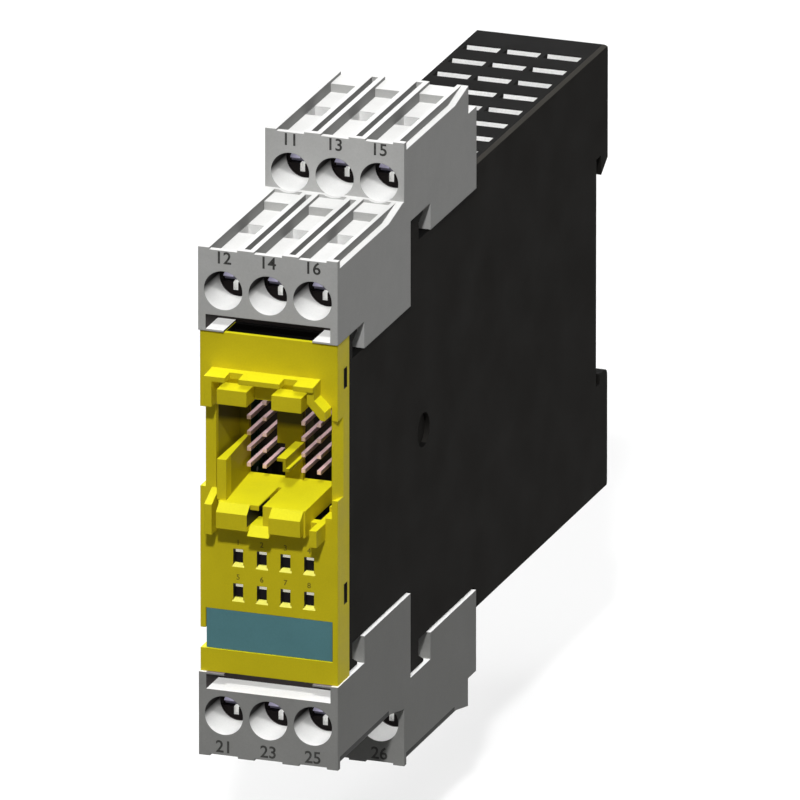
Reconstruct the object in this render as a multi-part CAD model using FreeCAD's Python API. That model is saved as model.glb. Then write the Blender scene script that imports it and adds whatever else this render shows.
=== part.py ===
import FreeCAD
import Part
import os
import math

# Safety input module for a 35 mm mounting rail, with two plug-in screw terminal blocks.
# Millimetres. The origin lies on the rail plane at mid width and mid height.
# +X points to the right, +Y to the rear and +Z up.
# Depths are counted from the front face of the terminal blocks.

# Overall frame
module_width = 22.5
front_to_rail = 119.7
fit_gap = 0.1
seat_gap = 0.3

# Terminal blocks: two tiers of three poles, the rear tier set higher
pole_pitch = 7.2
pole_count = 3
tier_pitch = 30.0
tier_rise = 9.4
block_top = 40.9
tier_height = 17.7
tier_length = 32.9
tier_top_length = 29.2
tail_drop = 4.5
nose_height = 13.4
nose_depth = 12.0

# Relief on the outer face of each tier
trough_width = 4.5
trough_depth = 1.86
trough_end = 24.6
rim_width = 1.0
rim_drop = 0.3
plateau_drop = 0.5
groove_width = 1.0
groove_depth = 1.3
groove_end = 28.4
ledge_width = 1.1
ledge_drop = 1.3
ledge_ramp_start = 23.0

# Lever slot between each block and the cover
lever_slot_width = 20.1
lever_slot_height = 2.65
lever_slot_depth = 5.5
lever_shelf_width = 2.9
lever_shelf_thickness = 0.3
lever_lip = 0.8

# Clamp screws and cages
bore_drop = 6.7
bore_radius = 3.1
bore_relief = 2.0
head_depth = 5.6
head_radius = 2.3
head_thickness = 1.6
shank_radius = 1.5
bar_sides = 16
head_sides = 24
running_clearance = 0.07
drive_slot_width = 0.8
drive_slot_depth = 0.8
drive_cross_length = 3.4
bore_wall = 0.6
clamp_travel = 3.3
cage_width = 5.4
cage_height = 6.0
cage_side = 0.6
cage_front = 1.2
cage_rear = 0.9
cage_clearance = 0.25
conductor_gap = 4.15
conductor_hole = 4.4
chamber_roof = 1.55

# Contact bars, and the pins that they plug on
bar_width = 3.2
bar_thickness = 0.6
bar_offset = 0.2
bar_base_drop = 12.4
socket_back = 22.3
socket_outer = 2.2
socket_inner = 1.3
socket_margin = 0.3
pin_width = 1.0
pin_top_gap = 0.6
pin_bend_step = 1.8
pin_tail = 1.2
header_height = 3.0
header_length = 5.0

# Housing shell
housing_inset = 0.45
housing_wall = 1.3
housing_half_height = 36.4
housing_front = 5.8
rail_recess_depth = 5.3
rail_wall = 1.5
rail_height = 35.0
notch_width = 4.2
barb_reach = 2.2
barb_height = 1.6
barb_edge = 0.4
rear_round = 1.2
round_flats = 5
edge_bevel = 0.5
neck_wall = 1.2
neck_gap = 0.2
dimple_radius = 2.75
dimple_depth = 0.8
dimple_back = 40.0
dimple_height = 0.9

# Rail hooks: the upper lip with its leaf spring, the lower lip fixed
flange_slot = 1.7
upper_slot = 2.2
upper_slot_top = 19.0
upper_lip_end = 15.8
upper_lip_slope = 2.0
lower_slot_floor = -18.2
lower_lip_top = -16.7
lip_round = 1.2
spring_thickness = 0.4
spring_half_width = 7.0
spring_knee = 0.7
spring_knee_height = 15.4
spring_anchor = 3.0

# Ventilation slots, top and bottom
vent_rows = 8
vent_columns = 3
vent_row_pitch = 6.8
vent_column_pitch = 6.6
vent_length = 5.65
vent_width = 2.4
vent_slope = 0.5
vent_from_rear = 9.2

# Front cover
cover_inset = 0.15
cover_front = 0.4
cover_plate = 1.6
cover_return = 5.2
cover_wall = 1.0
snap_width = 1.5
snap_height = 3.3
snap_back = 2.75
snap_heights = (21.1, -13.55)
snap_clearance = 0.15
relief_width = 0.9
relief_back = 2.6

# Interface receptacle in the cover
socket_pitch_x = 8.8
socket_shift_x = -0.35
socket_middle_z = 8.85
pocket_depth = 10.5
pocket_wall = 0.9
pocket_ceiling = 17.25
pocket_bottom = -0.6
flare_width = 0.95
flare_depth = 4.5
window_width = 4.6
window_top = 14.75
key_width = 1.3
key_top = 6.8
hood_reach = 3.5
hood_top = 21.65
hood_drop = 0.3
hood_thickness = 0.8
hood_end = 2.75
hood_notch_width = 2.2
hood_notch_depth = 2.2
cheek_width = 1.2
cheek_foot = 16.45
tab_width = 4.8
tab_height = 2.4
tab_foot = 17.05
shoulder_drop = 1.7
shoulder_foot = 16.05
shelf_back_z = 1.3
shelf_front_z = 1.05
shelf_reach = 2.4
jaw_reach = 4.0
jaw_top = -0.15
jaw_height = 2.6
jaw_root = -3.4
shelf_slot = 1.15
split_x = -0.75
split_width = 0.6
split_end = 6.6
split_floor = -1.1
mouth_left = -2.15
mouth_right = 1.35
mouth_floor = -2.1
mouth_roof = 0.8
tongue_fall = 1.4
side_jaw_top = -1.4
side_jaw_back = 5.2
side_jaw_foot = -4.1
ledge_left_z = 7.55
ledge_left_reach = 1.7
ledge_left_width = 2.2
ledge_left_gap = 0.7
ledge_left_tip = 0.65
guide_reach = 8.2
guide_steps = ((7.35, 1.45), (5.8, 0.55))
guide_thickness = 0.5

# Interface pin headers
pin_rows = 5
pin_columns = 2
pin_grid = 2.54
contact_pin = 0.64
contact_reach = 8.4
contact_tail = 1.0
contact_header_depth = 3.5
contact_header_back = 16.5
contact_header_width = 5.2
contact_header_height = 13.0

# Indicator windows, light guide and label plate
led_columns = 4
led_rows = 2
led_pitch_x = 3.82
led_pitch_z = 5.6
led_shift_x = 0.73
led_middle_z = -11.25
led_window_width = 1.6
led_window_height = 2.5
led_sill_fall = 0.4
led_sill_margin = 0.2
guide_recess = 0.9
guide_web = 1.0
guide_web_back = 8.0
guide_web_margin = 0.8
led_chip = 1.2
led_chip_height = 0.5
label_width = 20.3
label_height = 6.3
label_middle_z = -20.45
label_thickness = 0.7
label_sunk = 0.1
label_notch_height = 3.3

# Circuit boards and their parts
board_thickness = 1.2
board_gap = 0.1
board_front = 14.5
board_margin = 1.1
front_board_half = 17.4
chip_side = 12.0
chip_height = 2.0
chip_backs = (70.0, 92.0)
coupler_count = 8
coupler_length = 7.0
coupler_width = 4.5
coupler_height = 3.0
coupler_pitch = 6.2
coupler_back = 42.0
capacitor_radius = 4.0
capacitor_height = 12.0
capacitor_back = 104.0
capacitor_spacing = 12.0
converter_length = 18.0
converter_width = 12.0
converter_height = 14.0
converter_back = 80.0
converter_z = -22.0
link_length = 4.0
link_width = 2.5
link_height = 12.0

# Places worked out from the driving dimensions
front = -front_to_rail
half_width = module_width / 2
pole_xs = [pole_pitch * (n - (pole_count - 1) / 2) for n in range(pole_count)]
tiers = {"front": (front, block_top), "rear": (front + tier_pitch, block_top + tier_rise)}
housing_half = half_width - housing_inset
inner_half = housing_half - housing_wall
cover_half = half_width - cover_inset
cover_half_height = block_top - nose_height - fit_gap
plate_y = front + cover_front
chamber_half = cage_width / 2 + cage_clearance
shank_hole = shank_radius + running_clearance
wall_depth = head_depth + head_thickness + fit_gap / 2
chamber_depth = wall_depth + bore_wall
cage_depth = chamber_depth + fit_gap + clamp_travel
bar_depth = cage_depth + cage_front + bar_offset
conductor_depth = bar_depth + bar_thickness
cage_length = cage_front + bar_offset + bar_thickness + conductor_gap + cage_rear
chamber_end = cage_depth + cage_length + cage_clearance
socket_end = socket_back + socket_outer / 2 + fit_gap
seat_under = tier_height + seat_gap + housing_wall
socket_length = tier_height - bar_base_drop - bar_thickness - socket_margin
board_x = -inner_half + board_gap
board_face = board_x + board_thickness
floor_y = plate_y + pocket_depth
snap_y = plate_y + snap_back
header_y = front + contact_header_back
front_board_y = header_y + contact_header_depth
socket_xs = [socket_shift_x + socket_pitch_x * (n - 0.5) for n in range(2)]
led_xs = [led_shift_x + led_pitch_x * (n - (led_columns - 1) / 2) for n in range(led_columns)]
led_zs = [led_middle_z + led_pitch_z * (n - (led_rows - 1) / 2) for n in range(led_rows)]
pocket_left = -inner_half + fit_gap + pocket_wall
pocket_right = inner_half - fit_gap - pocket_wall


def box(x0, x1, y0, y1, z0, z1):
    """Block between two corners."""
    return Part.makeBox(x1 - x0, y1 - y0, z1 - z0, FreeCAD.Vector(x0, y0, z0))


def prism_x(profile, x0, x1):
    """Closed profile of (y, z) points, drawn out along X."""
    points = [FreeCAD.Vector(x0, y, z) for y, z in profile]
    face = Part.Face(Part.makePolygon(points + points[:1]))
    return face.extrude(FreeCAD.Vector(x1 - x0, 0, 0))


def prism_y(profile, y0, y1):
    """Closed profile of (x, z) points, drawn out along Y."""
    points = [FreeCAD.Vector(x, y0, z) for x, z in profile]
    face = Part.Face(Part.makePolygon(points + points[:1]))
    return face.extrude(FreeCAD.Vector(0, y1 - y0, 0))


def prism_z(profile, z0, z1):
    """Closed profile of (x, y) points, drawn out along Z."""
    points = [FreeCAD.Vector(x, y, z0) for x, y in profile]
    face = Part.Face(Part.makePolygon(points + points[:1]))
    return face.extrude(FreeCAD.Vector(0, 0, z1 - z0))


def rod_y(x, z, radius, y0, y1):
    """Round rod along Y."""
    return Part.makeCylinder(radius, y1 - y0, FreeCAD.Vector(x, y0, z), FreeCAD.Vector(0, 1, 0))


def ring(u, v, radius, sides):
    """Corners of a regular polygon whose flats touch the circle of the given radius."""
    corner = radius / math.cos(math.pi / sides)
    steps = [2 * math.pi * n / sides for n in range(sides)]
    return [(u + corner * math.cos(a), v + corner * math.sin(a)) for a in steps]


def inner_ring(u, v, radius, sides):
    """Corners of a regular polygon that stays inside the circle of the given radius."""
    return ring(u, v, radius * math.cos(math.pi / sides), sides)


def quarter_round(y, z, radius, start):
    """Short flats round a quarter circle about a centre, turning clockwise from the given angle."""
    steps = [math.radians(start - 90 * n / round_flats) for n in range(round_flats + 1)]
    return [(y + radius * math.cos(a), z + radius * math.sin(a)) for a in steps]


def join(first, others):
    """One solid from touching or overlapping solids, without seams on shared planes."""
    return first.fuse(list(others)).removeSplitter()


def below(shape):
    """Mirror image for the lower half of the module."""
    return shape.mirror(FreeCAD.Vector(0, 0, 0), FreeCAD.Vector(0, 0, 1))


# Terminal blocks

def block_profile():
    """Side view of the upper block: two tiers, each with a nose and a deeper body behind it."""
    (y1, z1), (y2, z2) = tiers["front"], tiers["rear"]
    return [
        (y1, z1 - nose_height), (y1, z1), (y2, z1), (y2, z2),
        (y2 + tier_top_length, z2), (y2 + tier_top_length, z2 - tail_drop),
        (y2 + tier_length, z2 - tail_drop), (y2 + tier_length, z2 - tier_height),
        (y2 + nose_depth, z2 - tier_height), (y2 + nose_depth, z2 - nose_height),
        (y1 + tier_length, z2 - nose_height), (y1 + tier_length, z1 - tier_height),
        (y1 + nose_depth, z1 - tier_height), (y1 + nose_depth, z1 - nose_height),
    ]


def tier_relief(y, z):
    """Troughs, rims, grooves and end ledges on the outer face of one tier."""
    cuts = []
    for x in pole_xs:
        x0, x1 = x - trough_width / 2, x + trough_width / 2
        cuts.append(box(x0, x1, y, y + rim_width, z - rim_drop, z))
        cuts.append(box(x0, x1, y + rim_width, y + trough_end, z - trough_depth, z))
        cuts.append(box(x0, x1, y + trough_end, y + tier_top_length, z - plateau_drop, z))
    for left, right in zip(pole_xs, pole_xs[1:]):
        middle = (left + right) / 2
        x0, x1 = middle - groove_width / 2, middle + groove_width / 2
        cuts.append(box(x0, x1, y + rim_width, y + groove_end, z - groove_depth, z))
    ramp = [
        (y + rim_width, z), (y + rim_width, z - ledge_drop),
        (y + ledge_ramp_start, z - ledge_drop), (y + tier_top_length, z),
    ]
    cuts.append(prism_x(ramp, -half_width, -half_width + ledge_width))
    cuts.append(prism_x(ramp, half_width - ledge_width, half_width))
    return cuts


def pole_cuts(x, y, z):
    """Screw bore, clamp chamber, conductor entry and contact space of one pole."""
    axis_z = z - bore_drop
    roof_z = z - trough_depth - chamber_roof
    base_z = z - bar_base_drop
    entry = conductor_hole / 2
    return [
        rod_y(x, axis_z, bore_radius, y - bore_relief, y + wall_depth),
        prism_y(ring(x, axis_z, shank_hole, bar_sides), y + wall_depth, y + chamber_depth),
        box(x - chamber_half, x + chamber_half, y + chamber_depth, y + chamber_end, base_z, roof_z),
        box(x - chamber_half, x + chamber_half, y + nose_depth + bar_offset, y + socket_end,
            z - tier_height, base_z),
        box(x - entry, x + entry, y + conductor_depth, y + conductor_depth + conductor_gap,
            roof_z, z - trough_depth),
    ]


def lever_slot():
    """Slot for a lever under the nose of the upper block, with a thin shelf at each end."""
    z = block_top - nose_height
    half = lever_slot_width / 2
    deep = front + lever_slot_depth
    slot = box(-half, half, front, deep, z, z + lever_slot_height)
    top = z + lever_shelf_thickness
    return slot.cut([
        box(-half, lever_shelf_width - half, front, deep, z, top),
        box(half - lever_shelf_width, half, front, deep, z, top),
    ])


def terminal_block():
    """Moulding of the upper terminal block."""
    cuts = [lever_slot()]
    for y, z in tiers.values():
        cuts += tier_relief(y, z)
        for x in pole_xs:
            cuts += pole_cuts(x, y, z)
    return prism_x(block_profile(), -half_width, half_width).cut(cuts)


def clamp_screw(x, y, z):
    """Captive clamp screw: cheese head with a combined slot and cross, on a plain shank."""
    axis_z = z - bore_drop
    head_y = y + head_depth
    shank_y = head_y + head_thickness
    tip_y = y + cage_depth + cage_front
    head = prism_y(inner_ring(x, axis_z, head_radius, head_sides), head_y, shank_y)
    shank = prism_y(inner_ring(x, axis_z, shank_radius, bar_sides), shank_y, tip_y)
    half = drive_slot_width / 2
    long_slot = box(x - head_radius, x + head_radius, head_y, head_y + drive_slot_depth,
                    axis_z - half, axis_z + half)
    cross_slot = box(x - half, x + half, head_y, head_y + drive_slot_depth,
                     axis_z - drive_cross_length / 2, axis_z + drive_cross_length / 2)
    return join(head, [shank]).cut([long_slot, cross_slot])


def clamp_cage(x, y, z):
    """Clamp cage: a loop round the contact bar and the conductor, with the screw through its front."""
    axis_z = z - bore_drop
    y0 = y + cage_depth
    y1 = y0 + cage_length
    half, rise = cage_width / 2, cage_height / 2
    loop = box(x - half, x + half, y0, y1, axis_z - rise, axis_z + rise)
    inside = box(x - half + cage_side, x + half - cage_side, y0 + cage_front, y1 - cage_rear,
                 axis_z - rise, axis_z + rise)
    hole = prism_y(ring(x, axis_z, shank_hole, bar_sides), y0, y0 + cage_front)
    return loop.cut([inside, hole])


def contact_bar(x, y, z):
    """Contact bar of one pole: leaf inside the cage, base under the chamber and a square socket."""
    base_z = z - bar_base_drop
    y0 = y + bar_depth
    leaf = box(x - bar_width / 2, x + bar_width / 2, y0, y0 + bar_thickness,
               base_z - bar_thickness, z - bore_drop + cage_height / 2 + bar_offset)
    base_half = chamber_half - fit_gap
    base = box(x - base_half, x + base_half, y0, y + socket_end - fit_gap,
               base_z - bar_thickness, base_z)
    socket_z = base_z - bar_thickness
    middle = y + socket_back
    outer, inner = socket_outer / 2, socket_inner / 2
    shell = box(x - outer, x + outer, middle - outer, middle + outer, socket_z - socket_length, socket_z)
    mouth = box(x - inner, x + inner, middle - inner, middle + inner, socket_z - socket_length,
                socket_z - bar_thickness)
    return join(leaf, [base, shell]).cut(mouth)


# Housing

def housing_profile(inset):
    """Upper half of the housing's side view, from the front to the rear, drawn in by a wall."""
    (y1, z1), (y2, z2) = tiers["front"], tiers["rear"]
    nose_z = z1 - nose_height - cover_inset - seat_gap - inset
    seat_1 = z1 - tier_height - seat_gap - inset
    seat_2 = z2 - tier_height - seat_gap - inset
    nose_y = y1 + nose_depth - notch_width - inset
    tier_y = y1 + tier_length + seat_gap + inset
    tail_y = y2 + tier_length + seat_gap + inset
    top_z = housing_half_height - inset
    return [
        (nose_y, nose_z), (nose_y, seat_1), (tier_y, seat_1), (tier_y, seat_2),
        (tail_y, seat_2), (tail_y, top_z),
    ], nose_z


def housing_body():
    """Outer form of the housing, with the rail recess and its hooks at the rear."""
    upper, nose_z = housing_profile(0)
    y0 = front + housing_front
    rear = rail_recess_depth
    hooks = quarter_round(rear - rear_round, housing_half_height - rear_round, rear_round, 90) + [
        (rear, upper_lip_end + upper_lip_slope),
        (upper_slot + fit_gap, upper_lip_end), (upper_slot, upper_lip_end),
        (upper_slot, upper_slot_top), (0, upper_slot_top),
        (0, lower_slot_floor), (flange_slot, lower_slot_floor), (flange_slot, lower_lip_top),
    ]
    hooks += quarter_round(rear - lip_round, lower_lip_top - lip_round, lip_round, 90)
    hooks += quarter_round(rear - rear_round, rear_round - housing_half_height, rear_round, 0)
    lower = [(y, -z) for y, z in reversed(upper)]
    outline = [(y0, nose_z)] + upper + hooks + lower + [(y0, -nose_z)]
    body = prism_x(outline, -housing_half, housing_half)
    bevels = []
    for side in (-1, 1):
        corner = [
            (side * housing_half, housing_half_height),
            (side * (housing_half - edge_bevel), housing_half_height),
            (side * housing_half, housing_half_height - edge_bevel),
        ]
        bevel = prism_y(corner, upper[-1][0], rear)
        bevels += [bevel, below(bevel)]
    return body.cut(bevels)


def housing_cavity():
    """Hollow of the housing, open to the front."""
    upper, nose_z = housing_profile(housing_wall)
    y0 = front + housing_front - neck_wall
    deep = rail_recess_depth - housing_wall
    hook_z = upper_slot_top + spring_anchor + housing_wall
    rear = [
        (deep, housing_half_height - housing_wall), (deep, hook_z), (-rail_wall, hook_z),
        (-rail_wall, -hook_z), (deep, -hook_z), (deep, housing_wall - housing_half_height),
    ]
    lower = [(y, -z) for y, z in reversed(upper)]
    outline = [(y0, nose_z)] + upper + rear + lower + [(y0, -nose_z)]
    return prism_x(outline, -inner_half, inner_half)


def block_hooks():
    """Ribs in the notch between the two tiers of each block, and barbs on the ribs and on the nose."""
    upper, nose_z = housing_profile(0)
    y0, z0 = upper[3]
    y1 = tiers["rear"][0] + nose_depth - notch_width
    rib_z = tiers["rear"][1] - nose_height - seat_gap
    hooks = [box(-housing_half, housing_half, y0, y1, z0, rib_z)]
    for y, z in ((upper[0][0], nose_z), (y1, rib_z)):
        barb = [(y, z), (y, z - barb_height), (y + barb_reach, z - barb_edge), (y + barb_reach, z)]
        hooks.append(prism_x(barb, -housing_half, housing_half))
    return hooks + [below(hook) for hook in hooks]


def housing_neck():
    """Neck that carries the cover, left out beside the receptacle, with its snap lugs."""
    half = cover_half - cover_wall - neck_gap
    rise = cover_half_height - cover_wall - neck_gap
    y0 = plate_y + cover_plate + fit_gap
    y1 = front + housing_front
    ring = box(-half, half, y0, y1, -rise, rise)
    opening = box(neck_wall - half, half - neck_wall, y0, y1, neck_wall - rise, rise - neck_wall)
    gap = box(-half, half, y0, y1, side_jaw_foot, pocket_ceiling + pocket_wall + fit_gap)
    lugs = []
    for z in snap_heights:
        for x0, x1 in ((-housing_half, -half), (half, housing_half)):
            lugs.append(box(x0, x1, snap_y + snap_clearance, snap_y + snap_width - snap_clearance,
                            z - snap_height / 2 + snap_clearance, z + snap_height / 2 - snap_clearance))
    flange = box(-housing_half, housing_half, y1, y1 + housing_wall, -rise, rise)
    clear = box(-inner_half, inner_half, y1, y1 + housing_wall, side_jaw_foot, rise - neck_wall)
    lower_clear = box(neck_wall - half, half - neck_wall, y1, y1 + housing_wall,
                      neck_wall - rise, rise - neck_wall)
    return [ring.cut([opening, gap]), flange.cut([clear, lower_clear])] + lugs


def vent_slots():
    """Rows of slots with a sloped rear wall through the top wall, and the same through the bottom wall."""
    slots = []
    half, rise = vent_length / 2, vent_width / 2
    z0, z1 = housing_half_height - housing_wall, housing_half_height
    for row in range(vent_rows):
        y = rail_recess_depth - vent_from_rear - row * vent_row_pitch
        profile = [(y - rise, z0), (y + rise - vent_slope, z0), (y + rise, z1), (y - rise, z1)]
        for column in range(vent_columns):
            x = vent_column_pitch * (column - (vent_columns - 1) / 2)
            slot = prism_x(profile, x - half, x + half)
            slots += [slot, below(slot)]
    return slots


def pin_holes():
    """Holes in the block seats for the terminal pins."""
    holes = []
    half = pin_width / 2 + seat_gap
    for y, z in tiers.values():
        for x in pole_xs:
            middle = y + socket_back
            hole = box(x - half, x + half, middle - half, middle + half,
                       z - seat_under, z - seat_under + housing_wall)
            holes += [hole, below(hole)]
    return holes


def housing():
    """Black housing moulding."""
    body = join(housing_body(), block_hooks()).cut(housing_cavity())
    body = join(body, housing_neck())
    dimples = [
        Part.makeCylinder(dimple_radius, dimple_depth,
                          FreeCAD.Vector(x, front + dimple_back, dimple_height), FreeCAD.Vector(1, 0, 0))
        for x in (-housing_half, housing_half - dimple_depth)
    ]
    slit = box(-spring_half_width - fit_gap, spring_half_width + fit_gap, 0, spring_thickness + fit_gap,
               upper_slot_top, upper_slot_top + spring_anchor)
    return body.cut(vent_slots() + pin_holes() + dimples + [slit])


def rail_spring():
    """Leaf spring in the upper rail slot, with a knee that presses on the rail's flange."""
    t = spring_thickness
    knee = spring_knee_height
    bend = 2 * spring_knee
    outer = [
        (t, upper_slot_top + spring_anchor), (t, knee + bend / 2 + t), (t + spring_knee, knee + t / 2),
        (t + spring_knee, knee - t / 2), (t, knee - bend / 2 - t / 2), (0, knee - bend / 2 - t / 2),
    ]
    inner = [
        (0, knee - bend / 2), (spring_knee, knee - t / 4), (spring_knee, knee + t / 4),
        (0, knee + bend / 2 + t / 2), (0, upper_slot_top + spring_anchor),
    ]
    return prism_x(outer + inner, -spring_half_width, spring_half_width)


# Front cover

def cover_shell():
    """Shallow tray of the cover: front plate and returns on all four sides."""
    back = plate_y + cover_return
    outer = box(-cover_half, cover_half, plate_y, back, -cover_half_height, cover_half_height)
    inner = box(cover_wall - cover_half, cover_half - cover_wall, plate_y + cover_plate, back,
                cover_wall - cover_half_height, cover_half_height - cover_wall)
    return outer.cut(inner)


def receptacle():
    """Walls of the pocket behind the plate, thickened at the right for its flared mouth."""
    back = floor_y + pocket_wall
    low, high = pocket_bottom - pocket_wall, pocket_ceiling + pocket_wall
    walls = box(pocket_left - pocket_wall, pocket_right + pocket_wall, plate_y, back, low, high)
    return [walls, box(pocket_right, cover_half - cover_wall, plate_y, plate_y + cover_return, low, high)]


def pocket():
    """Hollow of the receptacle, flared to the right at its mouth."""
    mouth_x = cover_half - relief_width - fit_gap / 2
    plan = [
        (pocket_left, plate_y), (mouth_x, plate_y), (mouth_x - flare_width, plate_y + flare_depth),
        (pocket_right, plate_y + flare_depth), (pocket_right, floor_y), (pocket_left, floor_y),
    ]
    return prism_z(plan, pocket_bottom, pocket_ceiling)


def receptacle_fill():
    """Shelf, left ledge and the stepped guide between the sockets."""
    shelf = [
        (floor_y, pocket_bottom), (floor_y, shelf_back_z), (plate_y - shelf_reach, shelf_front_z),
        (plate_y - shelf_reach, jaw_root + fit_gap), (plate_y, jaw_root), (plate_y, pocket_bottom),
    ]
    shelf_right = pocket_right - cheek_width - shelf_slot / 2
    shelf_left = pocket_left + shelf_slot
    corner = [
        (floor_y, pocket_bottom), (floor_y, shelf_back_z), (plate_y, shelf_front_z), (plate_y, pocket_bottom),
    ]
    window_left = socket_xs[0] - window_width / 2
    ledge = [
        (window_left - ledge_left_tip, floor_y), (pocket_left + ledge_left_gap, plate_y - ledge_left_reach),
        (pocket_left + ledge_left_width, plate_y - ledge_left_reach), (window_left, floor_y),
    ]
    pieces = [
        prism_x(shelf, shelf_left, shelf_right),
        prism_x(corner, pocket_left, shelf_left),
        prism_z(ledge, shelf_front_z, ledge_left_z),
    ]
    (high, high_width), (low, low_width) = guide_steps
    x0 = split_x + 2 * split_width
    x1 = x0 + high_width
    x2 = x1 + low_width
    t = guide_thickness
    guide = [
        (x0, high), (x1, high), (x1, low), (x2, low),
        (x2, low - t), (x1 - t, low - t), (x1 - t, high - t), (x0, high - t),
    ]
    pieces.append(prism_y(guide, floor_y - guide_reach, floor_y))
    return pieces


def hood():
    """Roof over the sockets with its two cheeks, the right one running out in a shoulder, and the tabs."""
    y0 = plate_y - hood_reach
    left = -cover_half + cover_wall + relief_width
    right = cover_half - hood_end
    under = hood_top - hood_drop - hood_thickness
    roof_profile = [(plate_y, hood_top), (y0, hood_top - hood_drop), (y0, under), (plate_y, under)]
    roof = prism_x(roof_profile, left, right)
    notches = []
    tabs = []
    for x in socket_xs:
        notches.append(box(x - hood_notch_width / 2, x + hood_notch_width / 2, y0, y0 + hood_notch_depth,
                           hood_top - 2 * hood_thickness, hood_top))
        tabs.append(box(x - tab_width / 2, x + tab_width / 2, y0, plate_y, tab_foot, tab_foot + tab_height))
    left_cheek = box(left, left + cheek_width, y0, plate_y, cheek_foot, hood_top - hood_drop - fit_gap)
    bend_z = tab_foot + tab_height - hood_drop
    tip_x = right + shoulder_drop
    shoulder = [
        (right - cheek_width, under), (right, under),
        (right, bend_z), (tip_x, bend_z - shoulder_drop), (tip_x, shoulder_foot),
        (tip_x - cheek_width / 2, shoulder_foot), (right - cheek_width, bend_z - cheek_width / 2),
    ]
    right_cheek = prism_y(shoulder, y0 + cheek_width / 2, plate_y)
    return [roof.cut(notches), left_cheek, right_cheek] + tabs


def jaws():
    """Lower jaws in front of the plate: two lips, the tongue between them and a cheek at each side."""
    y0 = plate_y - jaw_reach
    y1 = plate_y - shelf_reach
    side_back = plate_y + side_jaw_back
    foot = jaw_top - jaw_height
    left = -cover_half + cover_wall + relief_width
    right = pocket_right - cheek_width / 2
    lip = [(y1, shelf_front_z), (y0, jaw_top), (y0, foot), (y1, foot)]
    tongue_foot = mouth_floor - tongue_fall
    tongue = [(y1, mouth_floor), (y0, tongue_foot), (y1, tongue_foot)]
    left_cheek = [
        (plate_y, shelf_front_z + shelf_back_z), (plate_y - hood_reach, shelf_front_z - hood_drop),
        (plate_y - hood_reach, side_jaw_foot), (plate_y, side_jaw_foot),
    ]
    right_cheek = [
        (side_back, side_jaw_top), (y0, side_jaw_top), (y0, side_jaw_foot),
        (plate_y, side_jaw_foot), (side_back, side_jaw_top - cheek_width),
    ]
    return [
        prism_x(lip, socket_xs[0] - tab_width / 2, mouth_left),
        prism_x(lip, mouth_right, socket_xs[1] + tab_width / 2),
        prism_x(tongue, mouth_left, mouth_right),
        prism_x(left_cheek, left, left + cheek_width),
        prism_x(right_cheek, right, right + cheek_width),
    ]


def shelf_cuts():
    """Split in the shelf, hollow of the mouth, slot at the right edge and room over the right cheek."""
    y1 = plate_y - shelf_reach
    under = pocket_bottom - pocket_wall
    slot_left = pocket_right - cheek_width - shelf_slot / 2
    slot_right = pocket_right - cheek_width / 2
    return [
        box(split_x, split_x + split_width, y1, front + split_end, split_floor, shelf_back_z),
        box(mouth_left, split_x + split_width, y1, plate_y + cover_plate + mouth_roof,
            mouth_floor, shelf_front_z - mouth_roof),
        box(slot_left, slot_right, plate_y, floor_y - pocket_wall, under, pocket_bottom),
        box(slot_right, slot_right + cheek_width, plate_y, plate_y + side_jaw_back,
            side_jaw_top, pocket_bottom),
    ]


def cover_openings():
    """Socket windows, snap windows, indicator windows, label recess, side reliefs and lever notches."""
    cuts = []
    for x in socket_xs:
        cuts.append(box(x - window_width / 2, x + window_width / 2, floor_y, floor_y + pocket_wall,
                        shelf_back_z, window_top))
    key_x = socket_xs[0] + window_width / 2
    cuts.append(box(key_x, key_x + key_width, floor_y, floor_y + pocket_wall, shelf_back_z, key_top))
    for z in snap_heights:
        for x in (-cover_half, cover_half - cover_wall):
            cuts.append(box(x, x + cover_wall, snap_y, snap_y + snap_width,
                            z - snap_height / 2, z + snap_height / 2))
    led_half = led_window_width / 2
    for z in led_zs:
        sill_z = z - led_window_height / 2
        sill = [(plate_y, sill_z - led_sill_fall), (plate_y + guide_recess, sill_z), (plate_y, sill_z)]
        for x in led_xs:
            cuts.append(box(x - led_half, x + led_half, plate_y, plate_y + cover_plate,
                            sill_z, z + led_window_height / 2))
            cuts.append(prism_x(sill, x - led_half - led_sill_margin, x + led_half + led_sill_margin))
    label_half = label_width / 2 + fit_gap
    label_z0 = label_middle_z - label_height / 2 - fit_gap
    label_z1 = label_middle_z + label_height / 2 + fit_gap
    label_back = plate_y + label_sunk + label_thickness
    cuts.append(box(-label_half, label_half, plate_y, label_back, label_z0, label_z1))
    cuts.append(box(-cover_half, -label_half, plate_y, plate_y + cover_return,
                    label_z0, label_z0 + label_notch_height))
    for side in (-1, 1):
        relief = [
            (side * cover_half, plate_y), (side * (cover_half - relief_width), plate_y),
            (side * cover_half, plate_y + relief_back),
        ]
        cuts.append(prism_z(relief, shelf_front_z + shelf_back_z, pocket_ceiling - 2 * shelf_front_z))
    lever_half = lever_slot_width / 2 - lever_shelf_width
    lever_notch = box(-lever_half, lever_half, plate_y + lever_lip, plate_y + cover_return,
                      cover_half_height - cover_wall, cover_half_height)
    return cuts + [lever_notch, below(lever_notch)]


def front_cover():
    """Yellow front cover with the moulded receptacle."""
    tray = join(cover_shell(), receptacle()).cut(pocket())
    return join(tray, receptacle_fill() + hood() + jaws()).cut(cover_openings() + shelf_cuts())


def label_plate():
    """Label plate snapped into the recess of the cover."""
    y0 = plate_y + label_sunk
    half, rise = label_width / 2, label_height / 2
    return box(-half, half, y0, y0 + label_thickness, label_middle_z - rise, label_middle_z + rise)


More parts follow.
